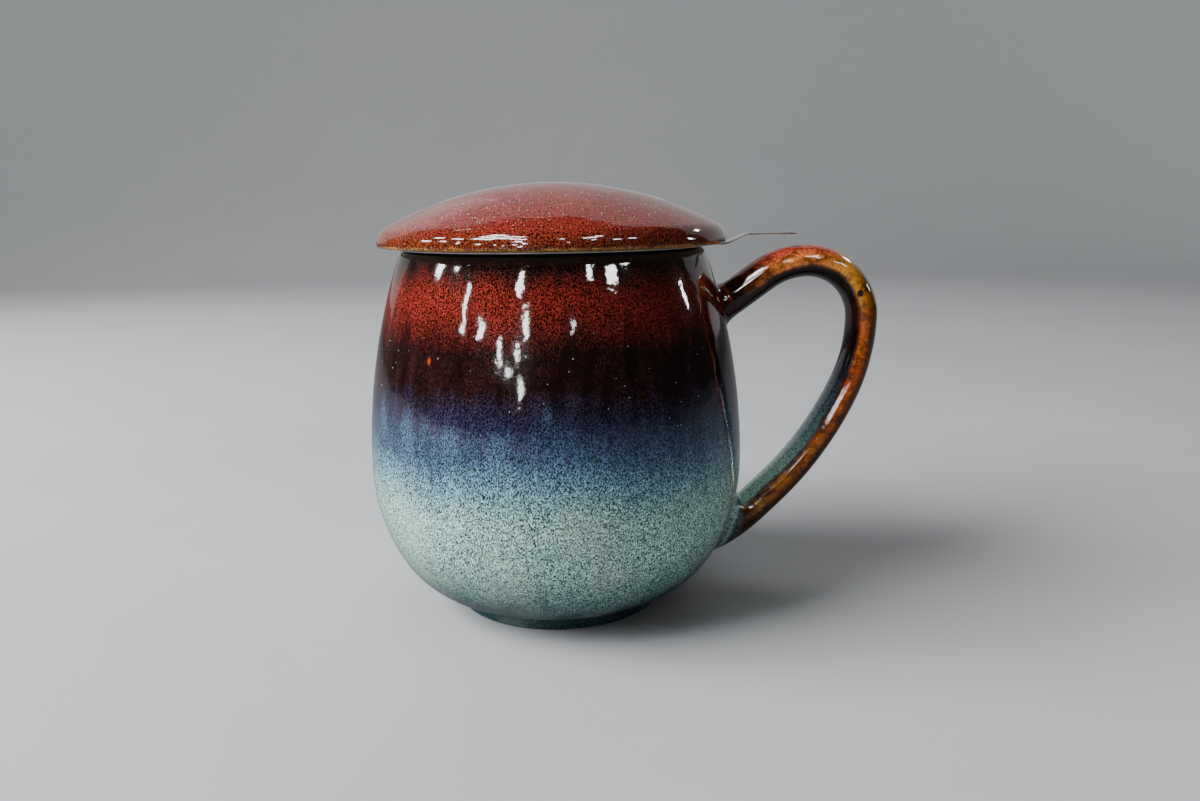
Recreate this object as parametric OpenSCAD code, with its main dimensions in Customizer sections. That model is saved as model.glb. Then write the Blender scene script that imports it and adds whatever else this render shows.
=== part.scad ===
// Lidded tea mug with a lift-out infuser basket.
// Millimetres. The origin is the centre of the foot on the mug's axis, +Z up, the handle towards +X.

/* [Mug body] */
// Widest diameter of the belly
belly_d = 95; // [92:0.5:100]
// Height of the widest point above the table
belly_z = 37; // [34:0.5:40]
// Height of the lip above the table
mug_h = 91; // [86:0.5:96]
// Radius of the long arc from the belly up to the lip, in section
shoulder_r = 153; // [140:1:170]
// Radius of the arc under the widest point, in section
belly_arc_r = 46; // [44:0.5:48]
// Radius of the tight arc that runs in to the foot, in section
heel_r = 23; // [20:0.5:26]
// Angle below the horizontal at which the belly arc passes into the heel arc
heel_from = 30; // [25:1:35]
// Thickness of the wall
wall = 4; // [3:0.1:4.6]
// Thickness of the floor over the recess in the foot
floor_t = 4.5; // [3.5:0.1:6]
// Outside diameter of the foot ring
foot_d = 54; // [50:0.5:58]
// Width of the foot ring's resting face
foot_w = 3.5; // [2.5:0.1:5]
// Height of the recess inside the foot ring
foot_recess = 2.8; // [1.5:0.1:3.5]

/* [Handle] */
// How far the handle stands out past the belly
handle_out = 35.7; // [33:0.1:40]
// Height of the handle's top above the table
handle_top = 90.8; // [88:0.1:94]
// Thickness of the strap at the crest
crest_t = 8.2; // [7:0.1:9]
// Thickness of the strap down the side
side_t = 7.3; // [6.5:0.1:9]
// Thickness of the strap where it runs into either root
root_t = 8.7; // [7.5:0.1:9.5]
// Width of the strap
strap_w = 12; // [10:0.5:14]
// Radius of the turn at the handle's outer top corner, on the centre line
crest_r = 15; // [14:0.1:17]
// Radius of the bend from the crest down into the upper arm, on the centre line
upper_bend_r = 19.5; // [18:0.5:23]
// Slope of the upper arm where it meets the body
upper_slope = 35.5; // [33:0.5:38]
// Straight stretch of the upper arm before it runs into its root
upper_arm = 7; // [5:0.5:8]
// Radius of the first bend below the crest, on the centre line
side_bend_r = 45; // [40:1:50]
// Angle turned by that first bend
side_turn = 24; // [21:1:27]
// Radius of the long bend below it, on the centre line
lower_bend_r = 86; // [78:1:94]
// Slope from the vertical that the lower arm has reached near the body
lower_slope = 46; // [44:1:48]
// Straight stretch of the lower arm before it runs into its root
lower_arm = 6; // [3:0.5:7]
// Height of the middle of the upper root
upper_root_z = 75.8; // [74.5:0.1:77]
// Height of the middle of the lower root
lower_root_z = 19; // [17.5:0.1:20]
// Height of the upper root's footprint on the body
upper_root_h = 15; // [14:0.5:17]
// Height of the lower root's footprint on the body
lower_root_h = 24; // [22:0.5:26]
// Width of either footprint
root_w = 17; // [15:0.5:19]

/* [Lid] */
// How far the lid's edge reaches past the infuser's flange
lid_over = 5.1; // [3.5:0.1:7]
// Height of the dome's top above the seat
lid_h = 15.2; // [13:0.1:18]
// Thickness of the dome
lid_wall = 4.2; // [3.2:0.1:5]
// Radius of the shoulder that turns the dome down to its edge
shoulder_turn_r = 4.6; // [3.5:0.1:5.5]
// Radius of the small round under the edge
edge_r = 0.8; // [0.5:0.05:1.2]
// How far the edge's underside stays above the level of the seat
edge_lift = 0.1; // [0.05:0.05:0.6]
// Width of the flat seat under the lid, out from the locating ring
lid_seat_w = 6.6; // [5.5:0.1:7.4]
// Depth of the locating ring below the seat
ring_h = 7; // [5:0.5:9]
// Thickness of the locating ring
ring_t = 3.6; // [3:0.1:4.5]

/* [Infuser] */
// Depth of the basket below the mug's lip
basket_depth = 66; // [58:1:72]
// Thickness of the steel sheet
sheet = 0.5; // [0.4:0.05:0.7]
// How far the flange reaches past the middle of the lip
flange_over = 1.8; // [1:0.1:2.4]
// Depth of the collar under the flange
collar_h = 9; // [7:0.5:12]
// Inside radius of the bend from flange to collar
press_r = 1; // [0.8:0.1:1.4]
// Holes round the basket in one row
holes_round = 44; // [36:1:52]
// Rows of holes up the basket
hole_rows = 13; // [8:1:14]
// Diameter of a hole
hole_d = 1.7; // [1.2:0.1:2]
// Bare strip of sheet above and below the holes
plain_strip = 3.2; // [2.5:0.1:5]
// Height of the base's turned-up edge
base_edge_h = 3; // [2:0.1:4]
// Rings of holes in the base
base_rings = 7; // [4:1:8]
// Width of the lift tab
tab_w = 6; // [5:0.5:14]
// How far the tab reaches past the lid's edge
tab_len = 18.8; // [16:0.1:22]
// How far the tab's flat end stands above the flange
tab_rise = 2.3; // [2:0.1:3]
// Length of the tab's sloping stretch, along X
tab_slope = 5.6; // [5:0.1:7]

/* [Fits] */
// Gap all round between the collar and the narrowest part of the mouth
mouth_gap = 0.8; // [0.6:0.1:1.5]
// Gap all round between the locating ring and the basket
ring_gap = 0.8; // [0.6:0.1:1.5]
// Gap between the lid's edge and the tab's bend
bend_gap = 0.2; // [0.1:0.05:0.5]
// Gap left between pieces that rest on each other
seat_gap = 0.1; // [0.05:0.05:0.2]
// Gap between sheets that are welded, and between the handle and the body
join_gap = 0.05; // [0.02:0.01:0.1]

/* [Hidden] */
round_fn = 192;   // facets of a full turn
hole_fn = 16;     // facets of a small hole
past = 1;         // how far a cutting shape runs past what it cuts
wall_drop = 1;    // how far the basket's wall ends below the bend of the flange

glaze_blue = [0.36, 0.50, 0.53];
glaze_amber = [0.62, 0.27, 0.09];
glaze_red = [0.42, 0.10, 0.08];
steel = [0.75, 0.76, 0.77];

belly_r = belly_d / 2;
foot_r = foot_d / 2;
// Centres of the three arcs of the section. They meet in line with each other.
shoulder_c = belly_r - shoulder_r;
belly_c = belly_r - belly_arc_r;
heel_c = [belly_c + (belly_arc_r - heel_r) * cos(heel_from),
          belly_z - (belly_arc_r - heel_r) * sin(heel_from)];

// The lip is a half circle across the wall.
lip_r = wall / 2;
lip_z = mug_h - lip_r;
lip_angle = asin((lip_z - belly_z) / (shoulder_r - lip_r));
lip_x = shoulder_c + (shoulder_r - lip_r) * cos(lip_angle);
mouth_r = lip_x - lip_r;
mug_floor_z = foot_recess + floor_t;

// The infuser hangs from its flange, which lies on the lip.
flange_z = mug_h + seat_gap;
flange_r = lip_x + flange_over;
collar_r = mouth_r - mouth_gap;
basket_r = collar_r - sheet - join_gap;
basket_z = mug_h - basket_depth;
basket_top = flange_z - press_r - wall_drop;
base_r = basket_r - sheet - join_gap;

// The lid lies on the flange, and its locating ring drops into the basket.
lid_z = flange_z + sheet + seat_gap;
lid_r = flange_r + lid_over;
ring_r = base_r + join_gap - ring_gap;
seat_r = ring_r + lid_seat_w;
// The shoulder's centre, and the dome that meets the shoulder in line and reaches the lid's height
turn_x = lid_r - shoulder_turn_r;
turn_z = lid_z + edge_lift + edge_r;
dome_rise = lid_z + lid_h - turn_z;
dome_r = (pow(turn_x, 2) + pow(dome_rise, 2) - pow(shoulder_turn_r, 2))
    / (2 * (dome_rise - shoulder_turn_r));
dome_c = lid_z + lid_h - dome_r;

// Centre line of the handle, in the XZ plane
crest = [belly_r + handle_out - side_t / 2 - crest_r, handle_top - crest_t / 2 - crest_r];
side_end = crest + [crest_r - side_bend_r, 0] + side_bend_r * [cos(side_turn), -sin(side_turn)];
lower_c = side_end - lower_bend_r * [cos(side_turn), -sin(side_turn)];
strap_sides = 28;    // points round the strap
bend_step = 5;       // degrees between sections round the tight bends
long_step = 3;       // degrees between sections along the long bend
arm_steps = 2;       // sections along each straight stretch
root_steps = 9;      // sections along each root
seat_steps = 7;      // rings of points across each seat
upper_pull = 0.55;   // share of the way that the strap's own direction carries into the upper root
lower_pull = 0.72;   // the same for the lower root
lute = 3;            // length over which a root turns out along the body
lute_share = 1.05;   // size, to the footprint's, of the outline that a root turns out towards

// Radius of the mug's outside at height z
function body_r(z) =
    z >= belly_z ? shoulder_c + sqrt(pow(shoulder_r, 2) - pow(z - belly_z, 2))
    : z >= belly_z - belly_arc_r * sin(heel_from)
        ? belly_c + sqrt(pow(belly_arc_r, 2) - pow(z - belly_z, 2))
    : heel_c.x + sqrt(max(0, pow(heel_r, 2) - pow(z - heel_c.y, 2)));

// ---- Mug body ----

// Everything inside the mug's outside face moved in by inset, in section
module body_section(inset = 0) {
    heel_top = belly_z - (belly_arc_r - inset) * sin(heel_from);
    heel_bottom = heel_c.y - heel_r + inset;
    intersection() {
        translate([shoulder_c, belly_z]) circle(r = shoulder_r - inset, $fn = 2 * round_fn);
        translate([0, belly_z]) square([belly_r, mug_h - belly_z + past]);
    }
    intersection() {
        translate([belly_c, belly_z]) circle(r = belly_arc_r - inset, $fn = round_fn);
        translate([0, heel_top]) square([belly_r, belly_z - heel_top]);
    }
    intersection() {
        translate(heel_c) circle(r = heel_r - inset, $fn = round_fn);
        translate([heel_c.x, heel_bottom]) square([belly_r, heel_top - heel_bottom]);
    }
    translate([0, heel_bottom]) square([heel_c.x, heel_top - heel_bottom]);
}

// The part of the section below the lip, cut square across the wall
module below_lip() {
    reach = 2 * shoulder_r;
    polygon([[shoulder_c, -past], [shoulder_c, belly_z],
             [shoulder_c + reach * cos(lip_angle), belly_z + reach * sin(lip_angle)],
             [shoulder_c + reach, -past]]);
}

module mug_body() {
    color(glaze_blue)
    rotate_extrude($fn = round_fn)
    difference() {
        union() {
            intersection() {
                difference() {
                    union() {
                        body_section();
                        square([foot_r, heel_c.y]);
                    }
                    difference() {
                        body_section(wall);
                        square([belly_r, mug_floor_z]);
                    }
                }
                below_lip();
            }
            translate([lip_x, lip_z]) circle(r = lip_r, $fn = round_fn / 2);
        }
        translate([-past, -past]) square([foot_r - foot_w + past, foot_recess + past]);
    }
}

// ---- Handle ----

// Points along an arc in the XZ plane, from angle a to angle b
function arc_at(c, r, a, b, step) =
    let (n = max(1, ceil(abs(b - a) / step)))
    [for (i = [0 : n]) let (t = a + (b - a) * i / n) [c + r * [cos(t), sin(t)], t]];

// Sections of a straight stretch that carries on from section s
function straight(s, ahead, length) =
    [for (k = [1 : arm_steps]) [s[0] + ahead * length * k / arm_steps, s[1]]];

function turned(list) = [for (i = [len(list) - 1 : -1 : 0]) list[i]];

// Directions in which the strap runs into its two roots
upper_ahead = -[cos(upper_slope), sin(upper_slope)];
lower_ahead = -[sin(lower_slope), cos(lower_slope)];

// Sections of the strap: a point of the centre line and the direction of the strap's outside there
bends = concat(
    arc_at(crest + [0, crest_r - upper_bend_r], upper_bend_r, 90 + upper_slope, 90 + bend_step, bend_step),
    arc_at(crest, crest_r, 90, bend_step, bend_step),
    arc_at(crest + [crest_r - side_bend_r, 0], side_bend_r, 0, -side_turn + long_step, bend_step),
    arc_at(lower_c, lower_bend_r, -side_turn, -lower_slope, long_step));
strap_line = concat(turned(straight(bends[0], upper_ahead, upper_arm)), bends,
                    straight(bends[len(bends) - 1], lower_ahead, lower_arm));

// Thickness of the strap where its outside points in direction a
function strap_t(a) = lookup(a, [[-lower_slope, root_t], [-side_turn / 2, side_t],
                                 [90, crest_t], [90 + upper_slope, root_t]]);

// One section of the strap, an oval whose first point is on the outside
function strap_ring(s) = [for (i = [0 : strap_sides - 1])
    let (a = 360 * i / strap_sides, out = strap_t(s[1]) / 2 * cos(a), side = strap_w / 2 * sin(a))
    [s[0].x + out * cos(s[1]), side, s[0].y + out * sin(s[1])]];

// A ring of points on the body's face, round a root's middle. way is 1 where the handle's outside is up.
function root_ring(z, h, way, share = 1) = [for (i = [0 : strap_sides - 1])
    let (a = 360 * i / strap_sides, y = share * root_w / 2 * sin(a), pz = z + way * share * h / 2 * cos(a))
    [sqrt(pow(body_r(pz) + join_gap, 2) - y * y), y, pz]];

// Sections that carry the strap from its last oval into the footprint, and turn out along the body
function root_rings(oval, ahead, foot, wider, pull) =
    [for (k = [1 : root_steps]) let (t = k / root_steps)
        [for (i = [0 : strap_sides - 1])
            let (carry = pull * norm(foot[i] - oval[i]),
                 out = (wider[i] - foot[i]) / norm(wider[i] - foot[i]))
            pow(1 - t, 3) * oval[i] + 3 * t * pow(1 - t, 2) * (oval[i] + carry * ahead)
            + 3 * t * t * (1 - t) * (foot[i] - lute * out) + pow(t, 3) * foot[i]]];

// Rings that close a root over the body's curved face
function seat_rings(z, h, way) =
    [for (k = [1 : seat_steps - 1]) root_ring(z, h, way, 1 - k / seat_steps)];

module mug_handle() {
    upper = root_rings(strap_ring(strap_line[0]), [upper_ahead.x, 0, upper_ahead.y],
                       root_ring(upper_root_z, upper_root_h, 1),
                       root_ring(upper_root_z, upper_root_h, 1, lute_share), upper_pull);
    lower = root_rings(strap_ring(strap_line[len(strap_line) - 1]), [lower_ahead.x, 0, lower_ahead.y],
                       root_ring(lower_root_z, lower_root_h, -1),
                       root_ring(lower_root_z, lower_root_h, -1, lute_share), lower_pull);
    rings = concat(turned(concat(upper, seat_rings(upper_root_z, upper_root_h, 1))),
                   [for (s = strap_line) strap_ring(s)],
                   lower, seat_rings(lower_root_z, lower_root_h, -1));
    n = len(rings);
    sides = strap_sides;
    points = concat([for (ring = rings) each ring],
                    [[body_r(upper_root_z) + join_gap, 0, upper_root_z],
                     [body_r(lower_root_z) + join_gap, 0, lower_root_z]]);
    skin = [for (k = [0 : n - 2]) for (i = [0 : sides - 1])
        let (a = k * sides + i, b = k * sides + (i + 1) % sides)
        each [[a, b, b + sides], [a, b + sides, a + sides]]];
    ends = [for (i = [0 : sides - 1]) let (j = (i + 1) % sides)
        each [[j, i, n * sides], [(n - 1) * sides + i, (n - 1) * sides + j, n * sides + 1]]];
    color(glaze_amber) polyhedron(points, concat(skin, ends), convexity = 6);
}

// ---- Lid ----

module lid() {
    low_z = turn_z - edge_r;
    color(glaze_red)
    rotate_extrude($fn = round_fn) {
        difference() {
            union() {
                // The dome runs out to where the shoulder meets it in line.
                intersection() {
                    translate([0, dome_c]) circle(r = dome_r, $fn = 2 * round_fn);
                    polygon([[0, dome_c], [2 * turn_x, 2 * turn_z - dome_c], [0, 2 * turn_z - dome_c]]);
                    translate([0, lid_z]) square([lid_r, lid_h]);
                }
                intersection() {
                    translate([turn_x, turn_z]) circle(r = shoulder_turn_r, $fn = round_fn / 2);
                    translate([0, turn_z]) square([lid_r, lid_h]);
                }
                translate([lid_r - edge_r, turn_z]) circle(r = edge_r, $fn = round_fn / 4);
                polygon([[0, lid_z], [seat_r, lid_z], [lid_r - edge_r, low_z], [lid_r - edge_r, turn_z],
                         [0, turn_z]]);
            }
            intersection() {
                translate([0, dome_c]) circle(r = dome_r - lid_wall, $fn = 2 * round_fn);
                translate([-past, lid_z - past]) square([ring_r - ring_t + past, dome_r]);
            }
        }
        translate([ring_r - ring_t, lid_z - ring_h + ring_t / 2]) square([ring_t, ring_h]);
        translate([ring_r - ring_t / 2, lid_z - ring_h + ring_t / 2])
            circle(r = ring_t / 2, $fn = round_fn / 4);
    }
}

// ---- Infuser ----

// Sheet bent from the flat flange down into the collar, in section
module rim_section() {
    bend = [collar_r + press_r, flange_z - press_r];
    translate([bend.x, flange_z]) square([flange_r - bend.x, sheet]);
    translate([collar_r - sheet, flange_z - collar_h]) square([sheet, collar_h - press_r]);
    intersection() {
        difference() {
            translate(bend) circle(r = press_r + sheet, $fn = round_fn / 4);
            translate(bend) circle(r = press_r, $fn = round_fn / 4);
        }
        translate([collar_r - sheet, bend.y]) square(press_r + sheet);
    }
}

// Side view of the lift tab, from the flange out to tip
module tab_section(tip) {
    start = flange_r - past;
    knee = lid_r + bend_gap;
    top = knee + tab_slope;
    polygon([[start, 0], [knee, 0], [top, tab_rise], [tip, tab_rise],
             [tip, tab_rise + sheet], [top, tab_rise + sheet], [knee, sheet], [start, sheet]]);
}

module lift_tab() {
    tip = lid_r + tab_len;
    round_c = tip - tab_w / 2;
    intersection() {
        translate([0, 0, flange_z]) rotate([90, 0, 0])
            linear_extrude(height = tab_w, center = true) tab_section(tip);
        linear_extrude(height = flange_z + tab_rise + 2 * sheet) {
            translate([flange_r - past, -tab_w / 2]) square([round_c - flange_r + past, tab_w]);
            translate([round_c, 0]) circle(d = tab_w, $fn = round_fn / 2);
        }
    }
}

module infuser_rim() {
    color(steel) {
        rotate_extrude($fn = round_fn) rim_section();
        lift_tab();
    }
}

module infuser_wall() {
    first_row = basket_z + base_edge_h + plain_strip;
    last_row = flange_z - collar_h - plain_strip;
    pitch = (last_row - first_row) / (hole_rows - 1);
    color(steel)
    difference() {
        translate([0, 0, basket_z]) cylinder(h = basket_top - basket_z, r = basket_r, $fn = round_fn);
        translate([0, 0, basket_z - past])
            cylinder(h = basket_top - basket_z + 2 * past, r = basket_r - sheet, $fn = round_fn);
        for (row = [0 : hole_rows - 1]) for (i = [0 : holes_round - 1])
            rotate([0, 0, (i + (row % 2) / 2) * 360 / holes_round])
            translate([basket_r - sheet - past, 0, first_row + row * pitch])
            rotate([0, 90, 0])
                cylinder(h = sheet + 2 * past, d = hole_d, $fn = hole_fn);
    }
}

module infuser_base() {
    ring_step = (base_r - press_r - plain_strip) / base_rings;
    color(steel)
    difference() {
        rotate_extrude($fn = round_fn) difference() {
            union() {
                translate([0, basket_z]) square([base_r - press_r - sheet, base_edge_h]);
                translate([0, basket_z + press_r + sheet])
                    square([base_r, base_edge_h - press_r - sheet]);
                translate([base_r - press_r - sheet, basket_z + press_r + sheet])
                    circle(r = press_r + sheet, $fn = round_fn / 4);
            }
            translate([-past, basket_z + sheet + press_r]) square([base_r - sheet + past, base_edge_h]);
            translate([-past, basket_z + sheet]) square([base_r - sheet - press_r + past, base_edge_h]);
            translate([base_r - press_r - sheet, basket_z + press_r + sheet])
                circle(r = press_r, $fn = round_fn / 4);
        }
        for (ring = [1 : base_rings]) for (i = [0 : 6 * ring - 1])
            rotate([0, 0, i * 60 / ring]) translate([ring * ring_step, 0, basket_z - past])
                cylinder(h = sheet + 2 * past, d = hole_d, $fn = hole_fn);
        translate([0, 0, basket_z - past]) cylinder(h = sheet + 2 * past, d = hole_d, $fn = hole_fn);
    }
}

mug_body();
mug_handle();
lid();
infuser_rim();
infuser_wall();
infuser_base();
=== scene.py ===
"""Lidded tea mug with a lift-out infuser: glazed stoneware body, handle and lid, perforated steel basket."""

import math

import bmesh
import bpy
import numpy as np
from bpy.props import FloatProperty, FloatVectorProperty, IntProperty, PointerProperty
from bpy.types import Operator, Panel, PropertyGroup
from mathutils import Matrix, Vector


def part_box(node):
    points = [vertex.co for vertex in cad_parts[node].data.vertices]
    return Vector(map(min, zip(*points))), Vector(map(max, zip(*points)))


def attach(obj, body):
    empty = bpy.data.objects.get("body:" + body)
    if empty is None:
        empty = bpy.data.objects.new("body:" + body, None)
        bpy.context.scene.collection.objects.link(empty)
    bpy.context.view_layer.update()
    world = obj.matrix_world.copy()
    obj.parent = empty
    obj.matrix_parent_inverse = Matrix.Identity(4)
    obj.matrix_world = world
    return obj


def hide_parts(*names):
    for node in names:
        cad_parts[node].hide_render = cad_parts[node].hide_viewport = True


bl_info = {
    "name": "Lidded Tea Mug",
    "version": (1, 0, 0),
    "blender": (4, 5, 0),
    "location": "3D View > Sidebar > Tea Mug",
    "description": "Builds a glazed tea mug with a domed lid and a perforated steel infuser",
    "category": "Add Mesh",
}

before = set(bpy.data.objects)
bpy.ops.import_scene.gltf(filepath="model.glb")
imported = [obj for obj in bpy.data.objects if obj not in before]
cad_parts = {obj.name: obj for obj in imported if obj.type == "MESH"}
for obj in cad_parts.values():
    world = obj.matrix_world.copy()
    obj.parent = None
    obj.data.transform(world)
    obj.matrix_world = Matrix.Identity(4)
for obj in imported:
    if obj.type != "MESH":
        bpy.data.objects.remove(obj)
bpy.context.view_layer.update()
BODY_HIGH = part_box("mug_body")[1]
HANDLE_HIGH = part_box("mug_handle")[1]
LID_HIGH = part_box("lid")[1]
RIM_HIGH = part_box("infuser_rim")[1]
WALL_LOW, WALL_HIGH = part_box("infuser_wall")

MM = 0.001
ON_AXIS = 1e-7
SAME_POINT = 1e-6
CELL_WELD = 0.00002

# Sizes of the flecks in the glazes
FLECK = 0.00033
LINER_FLECK = 0.0007
HANDLE_FLECK = 0.0006
# Height of the pits in the glaze, and of the grain in the steel
PIT_DEPTH = 0.000011
RIM_GRAIN = 0.0000022
MESH_GRAIN = 0.0000009
GLAZE_IOR = 1.52
BLACK = (0.0, 0.0, 0.0)

# Zones of the body's glaze: share of ZONES_HEIGHT, and the zone's name in GlazeColours
ZONES_HEIGHT = 0.1
GLAZE_ZONES = (
    # The foot zone is partly darker glaze and partly painted shade low on the body.
    (0.085, "foot"), (0.235, "celadon"), (0.335, "celadon"), (0.41, "slate"), (0.478, "dusk"),
    (0.553, "plum"), (0.625, "ember"), (0.7, "ember"), (0.79, "oxblood"), (0.825, "oxblood"),
    # The two zones under the lip are painted shadow of the lid: the red glaze darkens to near black there.
    (0.872, "neck_shade"), (0.9, "lip"),
)
# Single marks in the glaze, each the centre and radii of an ellipsoid
BLUE_DRIPS = (((-0.0335, -0.0325, 0.0515), (0.0042, 0.0042, 0.0072)),
              ((-0.0235, -0.0405, 0.0505), (0.004, 0.004, 0.006)),
              ((-0.013, -0.0445, 0.0495), (0.0034, 0.0034, 0.005)))
AMBER_SPARK = ((-0.0276, -0.0346, 0.0683), (0.0007, 0.0007, 0.0012))
PINHOLE = ((0.0772, -0.0045, 0.0786), (0.001, 0.004, 0.0012))

# Panels of light as seen from LIT_POINT: azimuth from -Y towards +X, elevation, width and height in degrees
LIT_POINT = Vector((0, 0, 0.06))
PANEL_DISTANCE = 1.15
SOFT_PANELS = {
    "key": ((-78, 33, 42, 40), 18.0),
    "fill": ((20, 35, 40, 30), 0.4),
    "back_wash": ((180, 62, 50, 30), 1.4),
}
MIRRORED_PANELS = {
    "wall": ((172, 27, 112, 52), 0.41),
    "wall_left": ((-138, 28, 56, 20), 0.2),
    "low_strip": ((180, 4, 18, 5), 1.0),
    "shelf": ((-141, 54, 9, 1.2), 9.0),
}
WINDOWS = (
    (-90, 24, 5, 5), (-76, 27, 4, 3), (-62, 22, 3, 9), (-48, 19, 4, 4), (-35, 15.5, 3, 4), (-29, 12, 2.5, 3),
    (-21, 8, 2, 5), (-24, 31, 3, 6), (-24, 17, 2, 2.5), (-19, 22, 3, 7), (11, 23, 1, 1.5), (27, 34, 3.5, 3),
    (43, 31, 5, 3), (99, 15, 3, 5), (-88, 38, 5, 4), (-70, 39, 9, 4), (-51, 42, 13, 6), (-38, 47, 10, 6),
    (-54, 52, 10, 5), (-34, 56, 9, 4), (-56, 61, 10, 6), (-25, 43, 7, 5), (6, 43, 5, 3), (28, 45, 8, 4),
    (37, 51, 5, 3), (55, 33, 5, 3), (125, 31, 7, 4),
)
SURROUND = (0.93, 0.965, 1.0)


# ---- Sizes and colours that a user would change ----


def length(label, about, value, low=0.0, high=1.0):
    """A length in metres; value is given in millimetres."""
    return FloatProperty(name=label, description=about, default=value * MM, min=low, max=high,
                         subtype="DISTANCE", unit="LENGTH", precision=4)


def angle(label, about, degrees):
    """An angle, given in degrees."""
    return FloatProperty(name=label, description=about, default=math.radians(degrees),
                         subtype="ANGLE", unit="ROTATION")


def colour(label, about, rgb):
    """A colour; rgb is given as it looks on a screen, 0 to 255."""
    return FloatVectorProperty(name=label, description=about, subtype="COLOR", size=3, min=0, max=1,
                               default=tuple(linear(c) for c in rgb))


def amount(label, about, value, low=0.0, high=1.0):
    """A plain number."""
    return FloatProperty(name=label, description=about, default=value, min=low, max=high)


def linear(c):
    """One channel of a screen colour, 0 to 255, as linear light."""
    c = c / 255
    return c / 12.92 if c <= 0.04045 else ((c + 0.055) / 1.055) ** 2.4


class MugSizes(PropertyGroup):
    belly_radius: length("Belly radius", "Half the body's widest diameter", BODY_HIGH.x / MM)
    belly_height: length("Belly height", "Height of the widest point above the table", 37)
    lip_height: length("Lip height", "Height of the lip above the table", BODY_HIGH.z / MM)
    shoulder_radius: length("Shoulder arc", "Radius of the long arc from the belly up to the lip", 153)
    belly_arc: length("Belly arc", "Radius of the arc under the widest point", 46)
    heel_arc: length("Heel arc", "Radius of the tight arc that runs in to the foot", 23)
    heel_from: angle("Heel from", "Angle below the horizontal where the belly arc passes into the heel", 30)
    wall: length("Wall", "Thickness of the wall", 4)
    floor: length("Floor", "Thickness of the floor over the recess in the foot", 4.5)
    foot_radius: length("Foot radius", "Outside radius of the foot ring", 27)
    foot_width: length("Foot width", "Width of the foot ring's resting face", 3.5)
    foot_recess: length("Foot recess", "Height of the recess inside the foot ring", 2.8)
    foot_round: length("Foot round", "Radius of the rounded edges of the foot ring", 0.7)


class HandleSizes(PropertyGroup):
    crest_thickness: length("Crest thickness", "Thickness of the strap at the crest", 8.2)
    side_thickness: length("Side thickness", "Thickness of the strap down the side", 7.3)
    root_thickness: length("Root thickness", "Thickness of the strap where it runs into a root", 8.7)
    width: length("Width", "Width of the strap", 12)
    crest_radius: length("Crest radius", "Radius of the turn at the outer top corner", 15)
    upper_bend: length("Upper bend", "Radius of the bend from the crest down into the upper arm", 19.5)
    upper_slope: angle("Upper slope", "Slope of the upper arm where it meets the body", 35.5)
    upper_arm: length("Upper arm", "Straight stretch of the upper arm before its root", 7)
    side_bend: length("Side bend", "Radius of the first bend below the crest", 45)
    side_turn: angle("Side turn", "Angle turned by the first bend below the crest", 24)
    lower_bend: length("Lower bend", "Radius of the long bend below that", 86)
    lower_slope: angle("Lower slope", "Slope from the vertical of the lower arm near the body", 46)
    lower_arm: length("Lower arm", "Straight stretch of the lower arm before its root", 6)
    upper_root: length("Upper root", "Height of the middle of the upper root", 75.8)
    lower_root: length("Lower root", "Height of the middle of the lower root", 19)
    upper_root_height: length("Upper root height", "Height of the upper root's footprint", 15)
    lower_root_height: length("Lower root height", "Height of the lower root's footprint", 24)
    root_width: length("Root width", "Width of either footprint", 17)


class LidSizes(PropertyGroup):
    radius: length("Radius", "Radius of the lid's edge", LID_HIGH.x / MM)
    seat: length("Seat height", "Height of the flat seat above the table", 91.7)
    rise: length("Rise", "Height of the dome's top above the seat", (LID_HIGH.z / MM) - 91.7)
    wall: length("Wall", "Thickness of the dome", 4.2)
    shoulder: length("Shoulder radius", "Radius of the turn from the dome down to the edge", 4.6)
    edge: length("Edge radius", "Radius of the small round under the edge", 0.8)
    edge_lift: length("Edge lift", "Height of the edge's underside above the level of the seat", 0.1)
    seat_width: length("Seat width", "Width of the flat seat, out from the locating ring", 6.6)
    ring_radius: length("Ring radius", "Outside radius of the locating ring", 31.61)
    ring_depth: length("Ring depth", "Depth of the locating ring below the seat", 7)
    ring_width: length("Ring width", "Thickness of the locating ring", 3.6)


class InfuserSizes(PropertyGroup):
    sheet: length("Sheet", "Thickness of the steel sheet", 0.5)
    flange_height: length("Flange height", "Height of the underside of the flange", 91.1)
    flange_radius: length("Flange radius", "Outside radius of the flange", 38.06)
    collar_radius: length("Collar radius", "Outside radius of the collar", 33.46)
    collar_depth: length("Collar depth", "Depth of the collar below the flange", 9)
    press_radius: length("Press radius", "Inside radius of the bend from flange to collar", 1)
    tab_knee: length("Tab knee", "Distance from the axis where the tab starts to rise", 43.36)
    tab_slope: length("Tab slope", "Length of the tab's sloping stretch, along X", 5.6)
    tab_rise: length("Tab rise", "Height of the tab's flat end above the flange", 2.3)
    tab_end: length("Tab end", "Distance from the axis to the tab's tip", RIM_HIGH.x / MM)
    tab_width: length("Tab width", "Width of the tab", 6)
    basket_radius: length("Basket radius", "Outside radius of the basket's wall", WALL_HIGH.x / MM)
    basket_low: length("Basket foot", "Height of the basket's underside above the table", WALL_LOW.z / MM)
    basket_high: length("Basket top", "Height of the upper edge of the basket's wall", WALL_HIGH.z / MM)
    base_edge: length("Base edge", "Height of the base's turned-up edge", 3)
    hole: length("Hole", "Diameter of a hole", 0.95)
    holes_round: IntProperty(name="Holes round", description="Holes round the basket in one row",
                             default=112, min=12, max=160)
    base_rings: IntProperty(name="Base rings", description="Rings of holes in the base", default=15,
                            min=3, max=24)


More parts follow.
